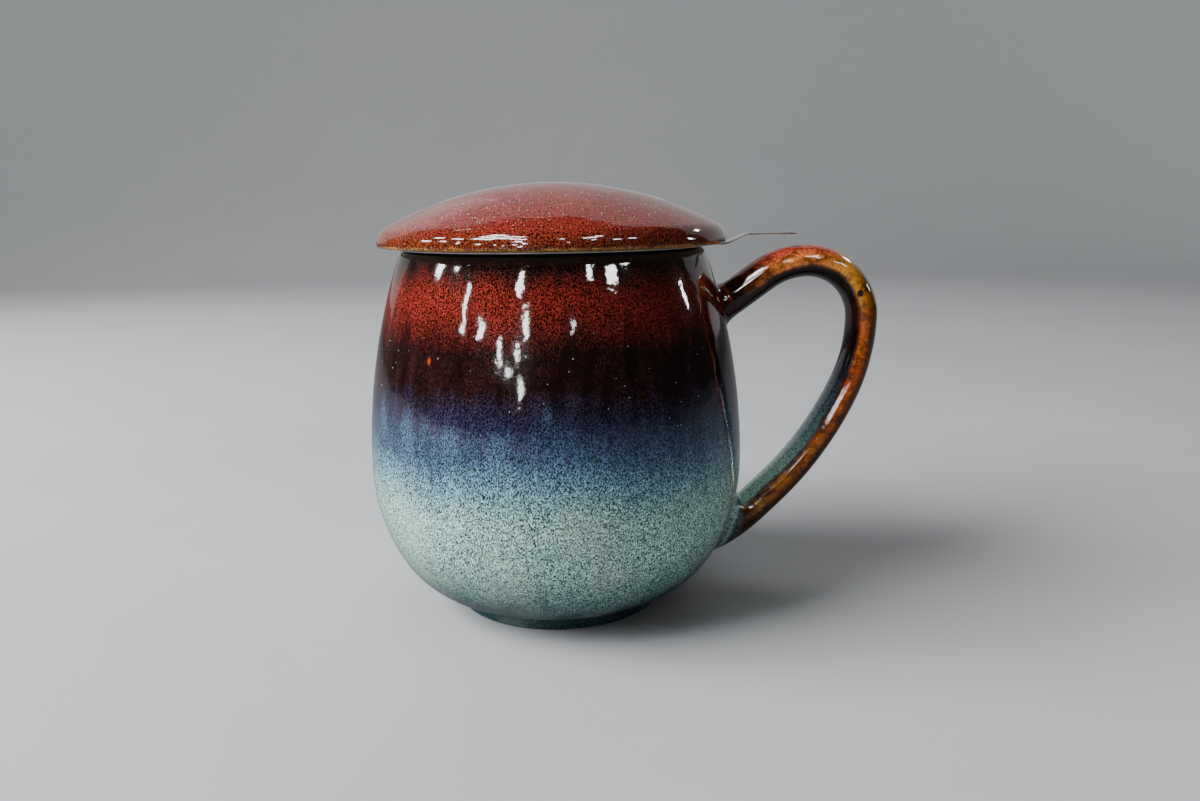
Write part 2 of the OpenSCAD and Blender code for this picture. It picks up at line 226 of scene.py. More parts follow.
class GlazeColours(PropertyGroup):
    # The dark teal near the foot is partly the glaze and partly painted shade.
    foot_light: colour("Foot, light", "Light fleck near the foot", (50, 86, 90))
    foot_dark: colour("Foot, dark", "Dark fleck near the foot", (8, 32, 38))
    celadon_light: colour("Celadon, light", "Light fleck round the lower body", (206, 252, 236))
    celadon_dark: colour("Celadon, dark", "Dark fleck round the lower body", (10, 42, 58))
    slate_light: colour("Slate, light", "Light fleck above the celadon", (148, 196, 210))
    slate_dark: colour("Slate, dark", "Dark fleck above the celadon", (10, 28, 50))
    dusk_light: colour("Dusk, light", "Light fleck of the blue zone", (80, 110, 142))
    dusk_dark: colour("Dusk, dark", "Dark fleck of the blue zone", (12, 13, 34))
    plum_light: colour("Plum, light", "Light fleck of the purple zone", (52, 52, 76))
    plum_dark: colour("Plum, dark", "Dark fleck of the purple zone", (18, 15, 32))
    ember_light: colour("Ember, light", "Light fleck of the near-black zone", (46, 22, 21))
    ember_dark: colour("Ember, dark", "Dark fleck of the near-black zone", (12, 4, 4))
    oxblood_light: colour("Oxblood, light", "Light fleck of the red zone", (140, 47, 36))
    oxblood_dark: colour("Oxblood, dark", "Dark fleck of the red zone", (35, 7, 5))
    # These four colours under the lip are painted shadow of the lid over the dark red glaze, darkest on the
    # lip itself.
    neck_shade_light: colour("Neck, light", "Light fleck under the lip", (64, 34, 30))
    neck_shade_dark: colour("Neck, dark", "Dark fleck under the lip", (7, 3, 3))
    lip_light: colour("Lip, light", "Light fleck on the lip", (26, 18, 16))
    lip_dark: colour("Lip, dark", "Dark fleck on the lip", (6, 4, 4))
    amber: colour("Amber", "Thin glaze on the handle", (206, 80, 6))
    gold: colour("Gold", "Thinnest glaze, at the handle's corner and the lid's edge", (234, 160, 58))
    # The red glaze on top of the handle, lightened and made pinker to paint the broad highlight along the top
    # of the arm.
    scarlet_and_highlight: colour("Scarlet", "Red glaze on top of the handle", (214, 76, 56))
    lid_light: colour("Lid, light", "Light fleck of the lid", (184, 64, 53))
    lid_dark: colour("Lid, dark", "Dark fleck of the lid", (38, 8, 6))
    liner: colour("Liner", "Pale glaze inside the mug", (200, 212, 202))
    clay: colour("Clay", "Bare stoneware", (178, 156, 128))
    steel: colour("Steel", "Stainless steel", (214, 214, 208))


class StudioSettings(PropertyGroup):
    camera_place: FloatVectorProperty(name="Camera place", description="Where the camera stands",
                                      subtype="TRANSLATION", unit="LENGTH", size=3,
                                      default=(0.0, -0.2300, 0.1001))
    camera_turn: angle("Camera turn", "Turn of the view from +Y towards +X", 2.81)
    camera_dip: angle("Camera dip", "How far the camera looks down", 11.97)
    camera_roll: angle("Camera roll", "Roll of the camera about its view, clockwise", 0.80)
    view_width: FloatProperty(name="Focal length", description="Focal length in image widths",
                              default=0.75, min=0.2, max=5)
    floor_colour: colour("Floor", "Pale floor", (176, 178, 182))
    floor_size: length("Floor size", "Half the floor's width", 2400, high=10)
    floor_mirrored: amount("Floor mirrored",
                           "Brightness of the floor as the glaze and the steel mirror it", 0.3)
    sky: amount("Surround", "Strength of the even light from all round", 0.035, high=5)
    horizon: amount("Horizon", "Brightness of the surround beyond the floor", 0.3, high=5)
    window_light: amount("Window light", "Brightness of the windows", 50, high=200)


# ---- Meshes ----


def new_object(name, data):
    """An object at the origin, linked to the scene."""
    obj = bpy.data.objects.new(name, data)
    bpy.context.scene.collection.objects.link(obj)
    return obj


def aim(degrees):
    """The unit direction (x, z) at an angle from +X towards +Z."""
    a = math.radians(degrees)
    return np.array((math.cos(a), math.sin(a)))


def path(*parts):
    """An outline (x, z) from points and from arcs: x, z, radius, from, to in degrees, steps."""
    outline = []
    for part in parts:
        if len(part) == 2:
            outline.append(part)
        else:
            x, z, radius, start, end, steps = part
            outline += [tuple((x, z) + radius * aim(a)) for a in np.linspace(start, end, steps + 1)]
    return outline


def densify(points, step):
    """Adds points on long straight stretches so that no stretch is longer than step."""
    out = [points[0]]
    for (x0, z0), (x1, z1) in zip(points[:-1], points[1:]):
        n = max(1, math.ceil(math.hypot(x1 - x0, z1 - z0) / step))
        out += [(x0 + (x1 - x0) * k / n, z0 + (z1 - z0) * k / n) for k in range(1, n + 1)]
    return out


def skin(bm, loops, closed=False, caps=()):
    """Faces from each loop of points to the next, and over the loops numbered in caps, all facing out."""
    rows = [[bm.verts.new(p) for p in loop] for loop in loops]
    n = max(len(row) for row in rows)
    faces = []
    for a, b in zip(rows, rows[1:] + rows[:1] if closed else rows[1:]):
        for i in range(n):
            j = (i + 1) % n
            corners = list(dict.fromkeys((a[i % len(a)], a[j % len(a)], b[j % len(b)], b[i % len(b)])))
            if len(corners) > 2:
                faces.append(bm.faces.new(corners))
    faces += [bm.faces.new(rows[k]) for k in caps]
    bmesh.ops.recalc_face_normals(bm, faces=faces)


def turn(bm, outline, segments, closed=False):
    """Turns an outline of (radius, height) round Z. Points that lie on the one before are left out."""
    angles = np.linspace(0, 2 * math.pi, segments, endpoint=False)
    loops, last = [], None
    for r, z in outline:
        if last and math.hypot(r - last[0], z - last[1]) <= SAME_POINT:
            continue
        last = (r, z)
        loops.append([(0, 0, z)] if r < ON_AXIS else [(r * math.cos(a), r * math.sin(a), z) for a in angles])
    skin(bm, loops, closed)


def to_object(name, bm, smooth_below=35):
    """The finished bmesh as an object, smooth apart from edges sharper than smooth_below degrees."""
    mesh = bpy.data.meshes.new(name)
    bm.to_mesh(mesh)
    bm.free()
    mesh.shade_smooth()
    mesh.set_sharp_from_angle(angle=math.radians(smooth_below))
    return new_object(name, mesh)


def paint(obj, name, values):
    """Stores one number for each vertex."""
    layer = obj.data.attributes.new(name, "FLOAT", "POINT")
    layer.data.foreach_set("value", np.asarray(values, np.float32))


def turned(name, outline, step):
    """An object turned from an outline cut to steps, with its vertices' radii and heights."""
    bm = bmesh.new()
    turn(bm, densify(outline, step), 256)
    obj = to_object(name, bm)
    co = np.zeros(len(obj.data.vertices) * 3)
    obj.data.vertices.foreach_get("co", co)
    x, y, z = co.reshape(-1, 3).T
    return obj, np.hypot(x, y), z


class Profile:
    """The mug's outside in section: arcs of shoulder, belly and heel, and the half circle of the lip."""

    def __init__(self, s):
        self.s = s
        self.shoulder_x = s.belly_radius - s.shoulder_radius
        self.belly_x = s.belly_radius - s.belly_arc
        gap = s.belly_arc - s.heel_arc
        self.heel_x = self.belly_x + gap * math.cos(s.heel_from)
        self.heel_z = s.belly_height - gap * math.sin(s.heel_from)
        lip = s.wall / 2
        self.lip_z = s.lip_height - lip
        reach = s.shoulder_radius - lip
        lean = math.asin((self.lip_z - s.belly_height) / reach)
        self.lip_x = self.shoulder_x + reach * math.cos(lean)
        self.lip_angle = math.degrees(lean)

    def radius(self, z):
        """Radius of the outside at height z."""
        s, up = self.s, z - self.s.belly_height
        if up >= 0:
            return self.shoulder_x + math.sqrt(s.shoulder_radius**2 - up**2)
        if up >= -s.belly_arc * math.sin(s.heel_from):
            return self.belly_x + math.sqrt(s.belly_arc**2 - up**2)
        return self.heel_x + math.sqrt(max(0.0, s.heel_arc**2 - (z - self.heel_z) ** 2))


# ---- Nodes ----


class Value:
    """A node's output. The signs + - * and / on it add Math nodes."""

    def __init__(self, w, socket):
        self.w, self.socket = w, socket


for sign, operation in (("add", "ADD"), ("sub", "SUBTRACT"), ("mul", "MULTIPLY"), ("truediv", "DIVIDE")):
    setattr(Value, f"__{sign}__", lambda a, b, kind=operation: a.w.math(kind, a, b))
    setattr(Value, f"__r{sign}__", lambda a, b, kind=operation: a.w.math(kind, b, a))


class Wiring:
    """Adds nodes to a tree and joins them."""

    def __init__(self, tree):
        self.tree = tree
        self.count = 0

    def add(self, kind, inputs=None, **settings):
        """A node with its settings; inputs are numbers, colours or values, by name or place."""
        node = self.tree.nodes.new(kind)
        node.location = (220 * (self.count % 12), -260 * (self.count // 12))
        self.count += 1
        for key, setting in settings.items():
            setattr(node, key, setting)
        self.wire(node, inputs or {})
        return node

    def wire(self, node, inputs):
        """Joins or sets a node's inputs."""
        for key, value in inputs.items():
            socket = node.inputs[key]
            if isinstance(value, Value):
                self.tree.links.new(value.socket, socket)
            elif socket.type == "RGBA":
                socket.default_value = (*value, 1)
            else:
                socket.default_value = value

    def get(self, kind, inputs=None, output=0, **settings):
        """The value that a new node puts out."""
        return Value(self, self.add(kind, inputs, **settings).outputs[output])

    def math(self, operation, a, b=None, clamp=False):
        """The result of one Math node."""
        return self.get("ShaderNodeMath", {0: a} if b is None else {0: a, 1: b}, operation=operation,
                        use_clamp=clamp)

    def remap(self, value, low, high, to_low=0.0, to_high=1.0, easing="LINEAR"):
        """value, moved from the range low to high into another, and held there."""
        return self.get("ShaderNodeMapRange", {"Value": value, "From Min": low, "From Max": high,
                                               "To Min": to_low, "To Max": to_high},
                        interpolation_type=easing, clamp=True)

    def between(self, value, start, low, high, end):
        """1 from low to high, falling to 0 at start and end."""
        return self.remap(value, start, low) * self.remap(value, end, high)

    def mix(self, share, a, b, blend="MIX"):
        """Two colours mixed."""
        return self.get("ShaderNodeMix", {"Factor": share, 6: a, 7: b}, 2, data_type="RGBA", blend_type=blend,
                        clamp_factor=True)

    def layers(self, colour, *layers):
        """A colour with others laid over it in turn, each where its mask says."""
        for mask, over in layers:
            colour = self.mix(mask, colour, over)
        return colour

    def ramp(self, value, stops):
        """A colour ramp; stops are pairs of place, 0 to 1, and linear colour."""
        node = self.add("ShaderNodeValToRGB", {"Fac": value})
        elements = node.color_ramp.elements
        elements.remove(elements[-1])
        for k, (place, rgb) in enumerate(stops):
            element = elements[0] if k == 0 else elements.new(place)
            element.position = place
            element.color = (*rgb, 1)
        return Value(self, node.outputs["Color"])

    def noise(self, where, scale, detail=2.0, roughness=0.5, stretch=(1, 1, 1), lean=0.0):
        """A noise's value; stretch scales the coordinates first, and lean moves them."""
        if stretch != (1, 1, 1) or lean:
            where = self.get("ShaderNodeMapping", {"Vector": where, "Scale": stretch,
                                                   "Location": (lean, lean, lean)})
        return self.get("ShaderNodeTexNoise", {"Vector": where, "Scale": scale, "Detail": detail,
                                               "Roughness": roughness})

    def specks(self, where, scale, outside, inside, share=None):
        """Round specks, one in each cell, or only in a share of the cells; sizes are in cells."""
        node = self.add("ShaderNodeTexVoronoi", {"Vector": where, "Scale": scale})
        mask = self.remap(Value(self, node.outputs["Distance"]), outside, inside)
        if share:
            lot = self.get("ShaderNodeSeparateColor", {0: Value(self, node.outputs["Color"])})
            mask = mask * self.remap(lot, *share)
        return mask

    def vector(self, operation, a, b=None, output=0):
        """The result of one Vector Math node."""
        return self.get("ShaderNodeVectorMath", {0: a} if b is None else {0: a, 1: b}, output,
                        operation=operation)

    def spot(self, where, centre, radii, soft=0.5):
        """1 inside an ellipsoid round centre, 0 outside it, with a soft edge."""
        scaled = self.vector("DIVIDE", self.vector("SUBTRACT", where, centre), radii)
        return self.remap(self.vector("LENGTH", scaled, output="Value"), 1.0, 1.0 - soft, easing="SMOOTHSTEP")

    def split(self, where):
        """The x, y and z of a vector."""
        return [Value(self, out) for out in self.add("ShaderNodeSeparateXYZ", {0: where}).outputs]

    def join(self, x, y, z):
        """The vector of x, y and z."""
        return self.get("ShaderNodeCombineXYZ", {0: x, 1: y, 2: z})

    def attribute(self, name):
        """A number painted on the mesh."""
        return self.get("ShaderNodeAttribute", output="Fac", attribute_name=name)

    def bump(self, height):
        """The normal of a surface with this height, in metres."""
        return self.get("ShaderNodeBump", {"Strength": 1.0, "Distance": 1.0, "Height": height})


def material(name, tint):
    """A new node material. Returns it, its wiring, its Principled shader and its Object coordinates."""
    mat = bpy.data.materials.new(name)
    mat.use_nodes = True
    mat.diffuse_color = (*tint, 1)
    w = Wiring(mat.node_tree)
    return mat, w, mat.node_tree.nodes["Principled BSDF"], w.get("ShaderNodeTexCoord", output="Object")


SOCKET_KINDS = {"VALUE": "NodeSocketFloat", "VECTOR": "NodeSocketVector", "RGBA": "NodeSocketColor",
                float: "NodeSocketFloat", int: "NodeSocketInt", bpy.types.Material: "NodeSocketMaterial"}


def new_sockets(tree, side, values):
    """Gives a node tree a named socket of the right kind for each value."""
    for key, value in values.items():
        kind = value.socket.type if isinstance(value, Value) else type(value)
        tree.interface.new_socket(key, in_out=side, socket_type=SOCKET_KINDS.get(kind, "NodeSocketColor"))


def group(w, name, build, **values):
    """Places a shader node group, which build wires the first time. Returns its outputs by name."""
    tree = bpy.data.node_groups.get(name)
    if not tree:
        tree = bpy.data.node_groups.new(name, "ShaderNodeTree")
        new_sockets(tree, "INPUT", values)
        inside = Wiring(tree)
        given = inside.add("NodeGroupInput").outputs
        results = build(inside, *(Value(inside, given[key]) for key in values))
        new_sockets(tree, "OUTPUT", results)
        inside.add("NodeGroupOutput", results)
    node = w.add("ShaderNodeGroup", values, node_tree=tree)
    return {out.name: Value(w, out) for out in node.outputs}


# Each of the next functions wires the inside of a group. Heights are in metres.


def fleck_group(w, where, size, cover, softness):
    """Small worm-like flecks: a mask that is 1 on the light ones and 0 on the dark ones."""
    per_metre = 1.0 / size
    coarse = w.noise(where, per_metre, 3.0, 0.68, (1, 1, 0.72))
    fine = w.noise(where, per_metre * 2.3, 1.0, 0.5, (1, 1, 0.8), 3.1)
    middle = w.remap(cover, 0.0, 1.0, 0.66, 0.34)
    return {"Mask": w.remap(coarse * 0.64 + fine * 0.36, middle - softness, middle + softness)}


def drift_group(w, where, height, waves, runs):
    """Lets the zones of a running glaze wander: adds slow waves and fine runs to the height."""
    slow = w.noise(where, 42, 2.0, 0.5, (1, 1, 0.6), 0.7)
    fine = w.noise(where, 330, 2.0, 0.55, (1, 1, 0.13), 0.2)
    return {"Height": height + ((slow - 0.5) * waves + (fine - 0.5) * runs)}


def ripple_group(w, where, swell, pits):
    """The slightly uneven skin of a thick glaze, as a height."""
    return {"Height": w.noise(where, 190, 1.5, 0.4) * swell + w.noise(where, 1000, 1.5, 0.5, lean=1.3) * pits}


def gloss_group(w, where, glassy, dull):
    """The gloss of a fired glaze, a little duller in clouds, as a roughness."""
    return {"Roughness": w.remap(w.noise(where, 60, 3, 0.6), 0.3, 0.75, glassy, dull)}


def clay_group(w, where, clay):
    """Bare stoneware with fine iron specks: its colour, and its grit as a height."""
    tone = w.mix(w.remap(w.noise(where, 700, 3, 0.6), 0.7, 0.35, 0.0, 0.3), clay, BLACK)
    return {"Color": w.mix(w.specks(where, 900, 0.16, 0.1), tone, (0.08, 0.05, 0.03)),
            "Grit": w.noise(where, 1500, 3, 0.7) * 0.00008}


def steel_group(w, where, steel, depth):
    """Brushed steel whose grain runs in rings round the axis: colour, roughness and height."""
    x, y, z = w.split(where)
    grain = w.noise(w.join(w.math("SQRT", x * x + y * y), 0.0, z), 5200, 2, 0.6)
    tone = w.mix(w.remap(w.noise(where, 160, 3, 0.55), 0.7, 0.35, 0.0, 0.18), steel, BLACK)
    return {"Color": w.mix(w.remap(grain, 0.4, 0.7, 0.0, 0.12), tone, BLACK),
            "Roughness": w.remap(grain, 0.3, 0.75, 0.2, 0.38), "Height": grain * depth}


def body_glaze_group(w, where, c):
    """The body's running glaze, from teal at the foot through celadon, blue and black to red towards the lip.
    Painted shade partly darkens the teal at the foot, and painted shadow of the lid darkens the top under the
    lip.
    """
    z = group(w, "Glaze drift", drift_group, Coordinates=where, Height=w.split(where)[2], Waves=0.0055,
              Runs=0.0065)["Height"]
    share = w.math("DIVIDE", z, ZONES_HEIGHT, clamp=True)
    light, dark = (w.ramp(share, [(place, getattr(c, f"{name}_{tone}")) for place, name in GLAZE_ZONES])
                   for tone in ("light", "dark"))
    mask = flecks(w, where, FLECK, 0.47, 0.04)
    # No two flecks are of quite the same tone, and the near-black zone is streaked by runs
    tones = w.remap(w.noise(where, 900, 3, 0.7, lean=11.0), 0.3, 0.7, 0.62, 1.3)
    runs = w.remap(w.noise(where, 260, 3, 0.6, (1, 1, 0.09), 6.0), 0.35, 0.65, 0.55, 1.5)
    streaks = w.mix(w.between(z, 0.054, 0.06, 0.072, 0.08), (1, 1, 1), runs)
    done = w.mix(1.0, w.mix(mask, dark, light), tones * streaks, "MULTIPLY")
    # Tiny pale bubbles where the blue meets the black
    bubbles = w.specks(where, 1100, 0.17, 0.11, (0.94, 0.95)) * w.between(z, 0.048, 0.056, 0.07, 0.078)
    done = w.mix(bubbles * 0.6, done, (0.8, 0.85, 0.9))
    # Paler clouds in the celadon, and blue drips where it breaks into the dark
    cloud = w.remap(w.noise(where, 70, 2, 0.5, (1, 1, 0.5), 5.0), 0.45, 0.7) * w.remap(z, 0.044, 0.034)
    pale = w.mix(0.35, done, (0.75, 0.78, 0.62))
    drip = w.remap(w.noise(where, 150, 1, 0.5, (1, 1, 0.35), 8.0), 0.6, 0.74)
    drip = drip * w.between(z, 0.044, 0.05, 0.056, 0.061)
    for centre, radii in BLUE_DRIPS:
        drip = w.math("MAXIMUM", drip, w.spot(where, centre, radii, 0.75))
    blue = w.mix(mask, c.slate_dark, w.mix(0.75, c.slate_light, c.dusk_light))
    return {"Color": w.layers(done, (cloud * 0.35, pale), (drip * 0.5, blue))}


# Each of the next functions places groups in a material.


def flecks(w, where, size, cover, softness):
    """A mask that is 1 on the light flecks and 0 on the dark ones."""
    return group(w, "Glaze flecks", fleck_group, Coordinates=where, Size=size, Cover=cover,
                 Softness=softness)["Mask"]


def body_glaze(w, where, c):
    """Colour of the body's running glaze."""
    return group(w, "Body glaze", lambda g, place: body_glaze_group(g, place, c), Coordinates=where)["Color"]


def liner_glaze(w, where, c):
    """Colour of the pale glaze inside the mug and under the lid."""
    return w.mix(flecks(w, where, LINER_FLECK, 0.55, 0.14), w.mix(0.25, c.liner, c.celadon_dark), c.liner)


def finish_glaze(w, shader, where, colour, clay=None, bare=None, dull=0.1, swell=0.00012):
    """Wires the glassy surface of a glaze, with bare clay where the mask says so."""
    gloss = group(w, "Glaze gloss", gloss_group, Coordinates=where, Glassy=0.3 * dull, Dull=dull)["Roughness"]
    height = group(w, "Glaze ripple", ripple_group, Coordinates=where, Swell=swell, Pits=PIT_DEPTH)["Height"]
    if bare:
        ground = group(w, "Bare clay", clay_group, Coordinates=where, Clay=clay)
        colour = w.mix(bare, colour, ground["Color"])
        gloss = w.math("MAXIMUM", gloss, bare * 0.85)
        height = height + ground["Grit"] * bare
    w.wire(shader, {"Base Color": colour, "Roughness": gloss, "IOR": GLAZE_IOR, "Normal": w.bump(height)})


def body_material(c):
    """Glazed stoneware of the body. Attribute bare is the foot's resting face, inner the inner wall."""
    mat, w, shader, where = material("Body glaze", c.celadon_light)
    colour = w.layers(body_glaze(w, where, c), (w.attribute("inner"), liner_glaze(w, where, c)),
                      (w.spot(where, *AMBER_SPARK, 0.8) * 0.55, c.amber))
    finish_glaze(w, shader, where, colour, c.clay, w.attribute("bare"))
    return mat


def lid_material(c):
    """Red glaze of the lid with painted white glints, golden where attribute edge nears 1; bare is clay,
    inner the hollow.
    """
    mat, w, shader, where = material("Lid glaze", c.lid_light)
    edge = w.attribute("edge")
    mask = flecks(w, where, FLECK, 0.45, 0.05)
    cloud = w.remap(w.noise(where, 55, 3, 0.55), 0.4, 0.7)
    light = w.mix(cloud, c.lid_light, tuple(x * 0.7 for x in c.lid_light))
    # The glaze darkens, then thins to amber and gold, where it runs off the edge
    wander = edge + w.remap(w.noise(where, 260, 2, 0.6), 0.3, 0.7, -0.03, 0.03)
    brown = w.mix(mask, (0.02, 0.004, 0.002), (0.24, 0.045, 0.014))
    amber = w.mix(mask, (0.04, 0.014, 0.004), w.mix(0.6, (0.1, 0.03, 0.006), c.gold))
    # White specks on the upper dome: painted glints of crystals in the glaze.
    crystal_glints = w.specks(where, 1700, 0.26, 0.12, (0.83, 0.87)) * w.remap(edge, 0.75, 0.5, 0.2, 0.95)
    colour = w.layers(w.mix(mask, c.lid_dark, light), (w.remap(wander, 0.6, 0.93), brown),
                      (w.remap(wander, 0.95, 0.98), amber), (crystal_glints, (1.0, 0.93, 0.88)),
                      (w.attribute("inner"), liner_glaze(w, where, c)))
    finish_glaze(w, shader, where, colour, c.clay, w.attribute("bare"), 0.1, 0.00011)
    return mat


def handle_material(c):
    """Handle glaze, with painted highlight and shade on the strap. Attribute along runs from the upper root
    to the lower one, outer is 1 on the outside.
    """
    mat, w, shader, where = material("Handle glaze", c.amber)
    wave = w.remap(w.noise(where, 120, 3, 0.55), 0.25, 0.75, -1.0, 1.0)
    along = w.attribute("along") + wave * 0.006
    outer = w.attribute("outer") + wave * 0.1
    body = body_glaze(w, where, c)
    # The broad face: brown by the root, orange, gold at the corner, amber down the side, brown again
    black, brown, orange = (0.012, 0.006, 0.005), (0.14, 0.036, 0.006), (0.86, 0.25, 0.05)
    face = w.ramp(along, [(0.05, black), (0.08, (0.3, 0.08, 0.015)), (0.12, orange), (0.24, orange),
                          (0.3, c.gold), (0.345, (0.62, 0.25, 0.014)), (0.4, (0.4, 0.085, 0.003)),
                          (0.55, c.amber), (0.68, (0.72, 0.14, 0.005)), (0.82, (0.74, 0.19, 0.012)),
                          (0.9, (0.5, 0.18, 0.02)), (0.935, brown), (0.952, black)])
    # The outside of the strap: red on top, lightened by a painted highlight, then dark brown down the outer
    # side, partly glaze and partly painted shade.
    ridge_with_painted_light = w.ramp(along, [(0.05, black), (0.075, (0.3, 0.03, 0.015)), (0.11, c.scarlet_and_highlight), (0.25, c.scarlet_and_highlight),
                           (0.3, c.gold), (0.35, (0.22, 0.075, 0.006)), (0.45, (0.11, 0.03, 0.004)),
                           (0.85, (0.06, 0.02, 0.005)), (0.952, black)])
    corner = w.remap(along, 0.28, 0.42)
    crown = outer + corner * 0.4
    # Fine dark dots, thickest on the red, and dark and golden streaks where the glaze ran thick and thin
    mask = flecks(w, where, HANDLE_FLECK, 0.58, 0.06)
    red = w.remap(along, 0.3, 0.24) * w.remap(outer, 0.1, 0.6)
    thick = w.remap(w.noise(where, 480, 4, 0.65, (0.6, 1, 0.8)), 0.45, 0.6)
    thin = w.remap(w.noise(where, 760, 3, 0.6, (0.5, 1, 0.7), 4.0), 0.52, 0.66)
    thin = thin * (corner * w.remap(crown, 0.6, 0.2, 0.0, 0.6))
    warm = w.layers(face, (w.remap(crown, 0.25, 0.8), ridge_with_painted_light), ((1.0 - mask) * (red * 0.5 + 0.42), black),
                    (thick * 0.82, (0.05, 0.014, 0.003)), (thin, c.gold))
    # The inner face keeps the body's glaze, with painted shade: black under the upper arm and corner, where
    # the underside is in shade. It takes more of the upper arm than of the side.
    inside = w.remap(along, 0.25, 0.4, -0.2, -0.5) - outer
    # Lower down, the light flecks turn pale celadon: partly the glaze, partly painted light on the shaded
    # inner face.
    pale = w.mix(mask * w.remap(along, 0.54, 0.76, 0.0, 0.5), body, c.celadon_light)
    under = w.mix(w.remap(along, 0.36, 0.46), black, pale)
    # A dark plum line along the inner edge of the strap, partly thicker glaze and partly painted shade at the
    # limb.
    line = w.remap(w.math("ABSOLUTE", inside - 0.06), 0.14, 0.02)
    # Roots: a dark pool round each, with an amber thread in the upper one, then the body's own glaze
    thread = w.between(along, 0.0205, 0.0245, 0.028, 0.032) * w.remap(outer, 0.0, 0.3, 0.0, 0.5)
    colour = w.layers(
        warm,
        (w.remap(inside, 0.0, 0.14), under),
        (line * 0.75, (0.03, 0.008, 0.016)),
        (w.remap(along, 0.062, 0.045), w.mix(0.8, body, black)),
        (thread, c.amber),
        (w.remap(along, 0.945, 0.956), w.mix(0.75, body, (0.004, 0.01, 0.012))),
        (w.remap(along, 0.014, 0.004), body),
        (w.remap(along, 0.962, 0.972), body),
        # A pale line round the lower root: a painted highlight along the fillet.
        (w.between(along, 0.966, 0.97, 0.973, 0.977) * 0.5, c.slate_light),
        (w.spot(where, *PINHOLE, 0.3), (0.006, 0.004, 0.003)))
    finish_glaze(w, shader, where, colour, dull=0.08, swell=0.00005)
    return mat


def steel_material(name, c, grain_depth):
    """Stainless steel with a fine grain; grain_depth is the height of the grain."""
    mat, w, shader, where = material(name, c.steel)
    grain = group(w, "Steel grain", steel_group, Coordinates=where, Steel=c.steel, Depth=grain_depth)
    w.wire(shader, {"Base Color": grain["Color"], "Metallic": 1.0, "Roughness": grain["Roughness"],
                    "Normal": w.bump(grain["Height"])})
    return mat


# ---- Pieces ----


def take_over(obj, mat, body, slot_name, *nodes):
    """Dresses a finished piece and hands it to its body in place of the solids it stands for."""
    obj.data.materials.clear()
    obj.data.materials.append(mat)
    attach(obj, body)
    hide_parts(*nodes)


class TEAMUG_OT_body(Operator):
    """Turn the mug's body: foot ring, belly, rounded lip and smooth inside"""

    bl_idname = "tea_mug.make_body"
    bl_label = "Mug body"

    # Degrees left off the heel's arcs at the foot and at the floor, which eases the corners there
    HEEL_EASE = 1.5
    FLOOR_EASE = 3

    def execute(self, context):
        s = context.scene.tea_mug_body
        p = Profile(s)
        e, lip, belly_end = s.foot_round, p.lip_angle, -math.degrees(s.heel_from)
        inside_foot = s.foot_radius - s.foot_width
        # Height at which the foot's outer wall runs into the heel
        meet = p.heel_z - math.sqrt(s.heel_arc**2 - (s.foot_radius - p.heel_x) ** 2)
        heel_end = -math.degrees(math.asin((p.heel_z - meet) / s.heel_arc)) + self.HEEL_EASE
        floor_z = s.foot_recess + s.floor
        floor_end = -math.degrees(math.asin((p.heel_z - floor_z) / (s.heel_arc - s.wall))) + self.FLOOR_EASE
        outline = path(
            (0.0, s.foot_recess),
            (inside_foot - e, s.foot_recess - e, e, 90, 0, 6),
            (inside_foot + e, e, e, 180, 270, 6),
            (s.foot_radius - e, e, e, -90, 0, 6),
            (s.foot_radius, meet - 0.2 * e),
            (p.heel_x, p.heel_z, s.heel_arc, heel_end, belly_end, 36),
            (p.belly_x, s.belly_height, s.belly_arc, belly_end, 0, 22),
            (p.shoulder_x, s.belly_height, s.shoulder_radius, 0, lip, 36),
            (p.lip_x, p.lip_z, s.wall / 2, lip, lip + 180, 24),
            (p.shoulder_x, s.belly_height, s.shoulder_radius - s.wall, lip, 0, 30),
            (p.belly_x, s.belly_height, s.belly_arc - s.wall, 0, belly_end, 16),
            (p.heel_x, p.heel_z, s.heel_arc - s.wall, belly_end, floor_end, 24),
            (p.heel_x, floor_z + 0.00002),
            (0.0, floor_z))
        obj, r, z = turned("stoneware_body", outline, 0.003)
        outside = np.array([p.radius(max(height, meet)) for height in z])
        inner = (r < outside - 0.6 * s.wall) & (z > floor_z - 0.0005)
        paint(obj, "inner", inner | ((z > p.lip_z) & (r < p.lip_x)))
        paint(obj, "bare", (z < 0.1 * e) & (r > inside_foot) & (r < s.foot_radius))
        take_over(obj, body_material(context.scene.tea_mug_glaze), "mug", "body_glaze", "mug_body")
        return {"FINISHED"}


